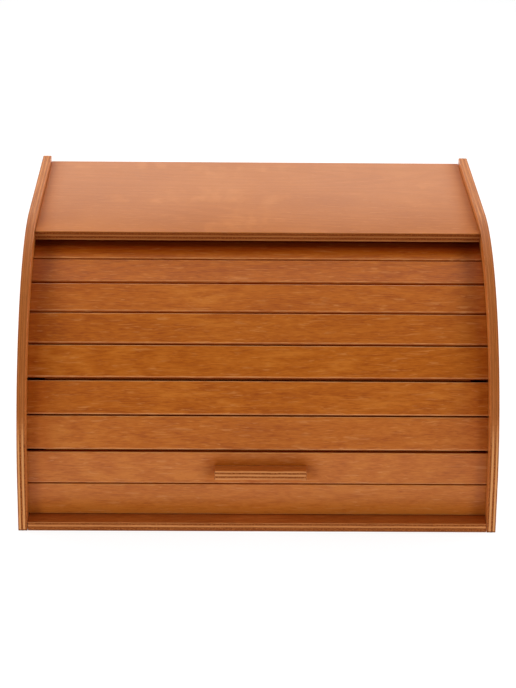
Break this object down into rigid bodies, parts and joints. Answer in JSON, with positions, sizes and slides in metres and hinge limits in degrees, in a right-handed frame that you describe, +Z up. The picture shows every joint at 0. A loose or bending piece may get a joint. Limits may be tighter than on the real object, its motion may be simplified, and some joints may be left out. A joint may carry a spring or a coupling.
{
  "type": "bread box",
  "caption": "Roll-top bread box in stained plywood: curved side panels carry a base, a back and a recessed top shelf, and a slatted shutter with a handle strip rolls up under the shelf.",
  "frame": {"origin": "centre of the underside of the case, in the plane that it stands on", "axes": "+X across the box to the right, seen from the front, +Y to the back, +Z up"},
  "size_m": [0.34, 0.306, 0.19],
  "materials": {
    "side_ply": "reddish brown stain under a satin lacquer, on five-ply board",
    "board_ply": "reddish brown stain under a satin lacquer, on five-ply board",
    "shelf_ply": "reddish brown stain under a satin lacquer, on five-ply board",
    "slat_wood": "orange brown stain under a satin lacquer",
    "handle_ply": "reddish brown stain under a satin lacquer, on five-ply board",
    "canvas": "plain woven cotton canvas",
    "steel": "bright drawn wire"
  },
  "bodies": {
    "case": {"side_panel_left": "side_ply", "side_panel_right": "side_ply", "base_board": "board_ply", "back_board": "board_ply", "top_shelf": "shelf_ply", "base_pin_left_1": "steel", "base_pin_left_2": "steel", "base_pin_left_3": "steel", "base_pin_right_1": "steel", "base_pin_right_2": "steel", "base_pin_right_3": "steel", "shelf_pin_left_1": "steel", "shelf_pin_left_2": "steel", "shelf_pin_left_3": "steel", "shelf_pin_right_1": "steel", "shelf_pin_right_2": "steel", "shelf_pin_right_3": "steel", "back_pin_left_1": "steel", "back_pin_left_2": "steel", "back_pin_right_1": "steel", "back_pin_right_2": "steel"},
    "shutter": {"slat_01": "slat_wood", "slat_02": "slat_wood", "slat_03": "slat_wood", "slat_04": "slat_wood", "slat_05": "slat_wood", "slat_06": "slat_wood", "slat_07": "slat_wood", "slat_08": "slat_wood", "slat_09": "slat_wood", "slat_10": "slat_wood", "slat_11": "slat_wood", "slat_12": "slat_wood", "canvas_backing": "canvas", "handle": "handle_ply", "handle_screw_left": "steel", "handle_screw_right": "steel"}
  },
  "joints": [
    {"name": "shutter_roll", "type": "hinge", "parent": "case", "child": "shutter", "pos_m": [0, 0.001, 0.036], "axis": [-1, 0, 0], "range_deg": [0, 72]}
  ]
}
